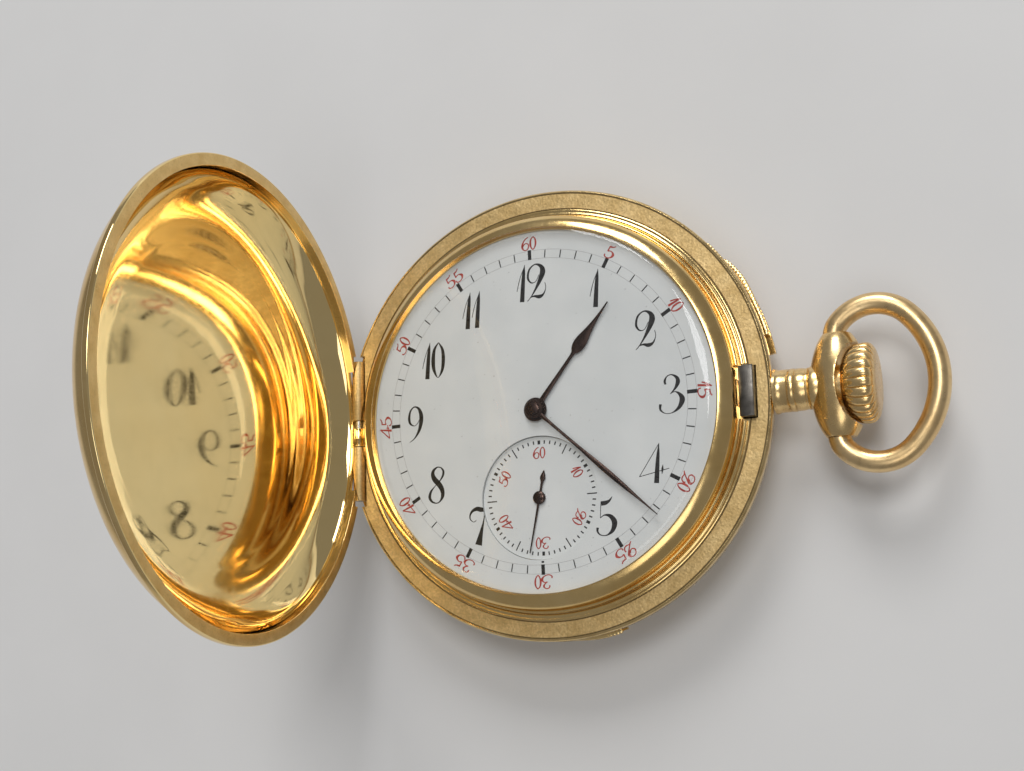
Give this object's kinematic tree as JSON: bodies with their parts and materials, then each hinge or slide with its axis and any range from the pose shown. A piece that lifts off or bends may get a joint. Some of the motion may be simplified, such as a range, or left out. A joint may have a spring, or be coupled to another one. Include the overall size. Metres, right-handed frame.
{
  "type": "hunter pocket watch",
  "caption": "Round hinged-cover pocket watch with a white dial, sunk seconds dial, pear and leaf hands, fluted winding crown, oval bow and a visible gear train behind the back covers.",
  "frame": {"origin": "centre of the flat at the crown of the back cover, on the dial's axis", "axes": "+Z from the back up through the dial, +X to the pendant at three o'clock, +Y to twelve o'clock"},
  "size_m": [0.0737, 0.052, 0.058],
  "materials": {
    "case_gold": "polished, worn gold",
    "steel": "satin steel",
    "gilt_brass": "frosted gilt",
    "crystal_glass": "clear, polished",
    "enamel": "white enamel",
    "hand_steel": "browned steel",
    "blued_steel": "blued steel",
    "ruby": "polished ruby"
  },
  "bodies": {
    "case": {"case_band": "case_gold", "pendant": "case_gold", "front_hinge_pin": "steel", "back_hinge_pin": "steel", "bezel": "case_gold", "crystal": "crystal_glass", "fly_spring": "steel", "dial": "enamel", "seconds_dial": "enamel", "main_plate": "gilt_brass", "barrel_bridge": "gilt_brass", "train_bridge": "gilt_brass", "pallet_cock": "gilt_brass", "balance_cock": "gilt_brass", "jewels": "ruby", "bridge_screws": "steel", "case_screws": "steel", "hairspring": "blued_steel", "click_spring": "steel"},
    "front_cover": {"front_cover": "case_gold"},
    "back_cover": {"back_cover": "case_gold"},
    "cuvette": {"cuvette": "case_gold"},
    "bow": {"bow": "case_gold"},
    "winding_works": {"winding_pinion": "steel", "clutch": "steel"},
    "crown": {"crown": "case_gold", "winding_stem": "steel"},
    "crown_wheel": {"crown_wheel": "steel"},
    "ratchet": {"ratchet_wheel": "steel", "barrel_arbor": "steel"},
    "latch": {"lock_spring": "steel"},
    "minute_hand": {"minute_hand": "hand_steel", "cannon_pinion": "steel"},
    "minute_wheel": {"minute_wheel": "gilt_brass"},
    "hour_hand": {"hour_hand": "hand_steel", "hour_wheel": "gilt_brass"},
    "seconds": {"fourth_wheel": "gilt_brass", "seconds_hand": "hand_steel"},
    "third_wheel": {"third_wheel": "gilt_brass"},
    "centre_wheel": {"centre_wheel": "gilt_brass"},
    "barrel": {"barrel": "gilt_brass", "barrel_cover": "gilt_brass", "mainspring": "steel"},
    "escape_wheel": {"escape_wheel": "steel"},
    "pallet_fork": {"pallet_fork": "steel"},
    "balance": {"balance_wheel": "gilt_brass"},
    "regulator": {"regulator": "steel"},
    "click": {"click": "steel"}
  },
  "joints": [
    {"name": "front_cover_hinge", "type": "hinge", "parent": "case", "child": "front_cover", "pos_m": [-0.0244, 0, 0.00768], "axis": [0, 1, 0], "range_deg": [0, 88], "stiffness_Nm_per_rad": 0.0026, "springref_deg": -34.38},
    {"name": "back_cover_hinge", "type": "hinge", "parent": "case", "child": "back_cover", "pos_m": [-0.0244, 0, 0.00451], "axis": [0, 1, 0], "range_deg": [0, 95]},
    {"name": "cuvette_hinge", "type": "hinge", "parent": "case", "child": "cuvette", "pos_m": [-0.0244, 0, 0.00451], "axis": [0, 1, 0], "range_deg": [0, 81]},
    {"name": "bow_swivel", "type": "hinge", "parent": "case", "child": "bow", "pos_m": [0.0326, 0, 0.00608], "axis": [0, 1, 0], "range_deg": [-80, 80]},
    {"name": "crown_turn", "type": "hinge", "parent": "case", "child": "winding_works", "pos_m": [0.0164, 0, 0.00608], "axis": [1, 0, 0], "continuous": true},
    {"name": "crown_pull", "type": "slide", "parent": "winding_works", "child": "crown", "axis": [1, 0, 0], "range_m": [-0.0005, 0.001]},
    {"name": "crown_wheel_turn", "type": "hinge", "parent": "case", "child": "crown_wheel", "pos_m": [0.01329, 0, 0.0032], "axis": [0, 0, 1], "continuous": true},
    {"name": "ratchet_turn", "type": "hinge", "parent": "case", "child": "ratchet", "pos_m": [0.0048, 0.00831, 0.0032], "axis": [0, 0, 1], "continuous": true},
    {"name": "latch_slide", "type": "slide", "parent": "case", "child": "latch", "axis": [-1, 0, 0], "range_m": [0, 0.00035], "stiffness_N_per_m": 200, "springref_m": -0.0005},
    {"name": "minute_hand_turn", "type": "hinge", "parent": "case", "child": "minute_hand", "pos_m": [0, 0, 0.00998], "axis": [0, 0, -1], "continuous": true},
    {"name": "minute_wheel_turn", "type": "hinge", "parent": "case", "child": "minute_wheel", "pos_m": [0.00361, 0.00131, 0.0085], "axis": [0, 0, -1], "continuous": true},
    {"name": "hour_hand_turn", "type": "hinge", "parent": "case", "child": "hour_hand", "pos_m": [0, 0, 0.00998], "axis": [0, 0, -1], "continuous": true},
    {"name": "seconds_turn", "type": "hinge", "parent": "case", "child": "seconds", "pos_m": [0, -0.00995, 0.005], "axis": [0, 0, -1], "continuous": true},
    {"name": "third_wheel_turn", "type": "hinge", "parent": "case", "child": "third_wheel", "pos_m": [0.00426, -0.0058, 0.005], "axis": [0, 0, -1], "continuous": true},
    {"name": "centre_wheel_turn", "type": "hinge", "parent": "case", "child": "centre_wheel", "pos_m": [0, 0, 0.005], "axis": [0, 0, -1], "continuous": true},
    {"name": "barrel_turn", "type": "hinge", "parent": "case", "child": "barrel", "pos_m": [0.0048, 0.00831, 0.005], "axis": [0, 0, -1], "continuous": true},
    {"name": "escape_wheel_turn", "type": "hinge", "parent": "case", "child": "escape_wheel", "pos_m": [-0.00428, -0.0111, 0.005], "axis": [0, 0, -1], "continuous": true},
    {"name": "pallet_fork_swing", "type": "hinge", "parent": "case", "child": "pallet_fork", "pos_m": [-0.00726, -0.00937, 0.005], "axis": [0, 0, 1], "range_deg": [-5, 5]},
    {"name": "balance_swing", "type": "hinge", "parent": "case", "child": "balance", "pos_m": [-0.01063, -0.00654, 0.005], "axis": [0, 0, 1], "range_deg": [-270, 270], "stiffness_Nm_per_rad": 0.000001, "deforming": ["hairspring"]},
    {"name": "regulator_swing", "type": "hinge", "parent": "case", "child": "regulator", "pos_m": [-0.01063, -0.00654, 0.003], "axis": [0, 0, 1], "range_deg": [-20, 20]},
    {"name": "click_swing", "type": "hinge", "parent": "case", "child": "click", "pos_m": [-0.00358, 0.01315, 0.0032], "axis": [0, 0, 1], "range_deg": [0, 8], "stiffness_Nm_per_rad": 0.0001, "springref_deg": -11.46}
  ],
  "couplings": [
    {"joint": "cuvette_hinge", "follows": "back_cover_hinge", "ratio": 0.85},
    {"joint": "crown_wheel_turn", "follows": "crown_turn", "ratio": 0.35},
    {"joint": "ratchet_turn", "follows": "crown_turn", "ratio": -0.20588},
    {"joint": "minute_wheel_turn", "follows": "minute_hand_turn", "ratio": -0.33333},
    {"joint": "hour_hand_turn", "follows": "minute_hand_turn", "ratio": 0.083333},
    {"joint": "third_wheel_turn", "follows": "seconds_turn", "ratio": -0.13333},
    {"joint": "centre_wheel_turn", "follows": "seconds_turn", "ratio": 0.016667},
    {"joint": "barrel_turn", "follows": "seconds_turn", "ratio": -0.002381},
    {"joint": "escape_wheel_turn", "follows": "seconds_turn", "ratio": -10}
  ]
}
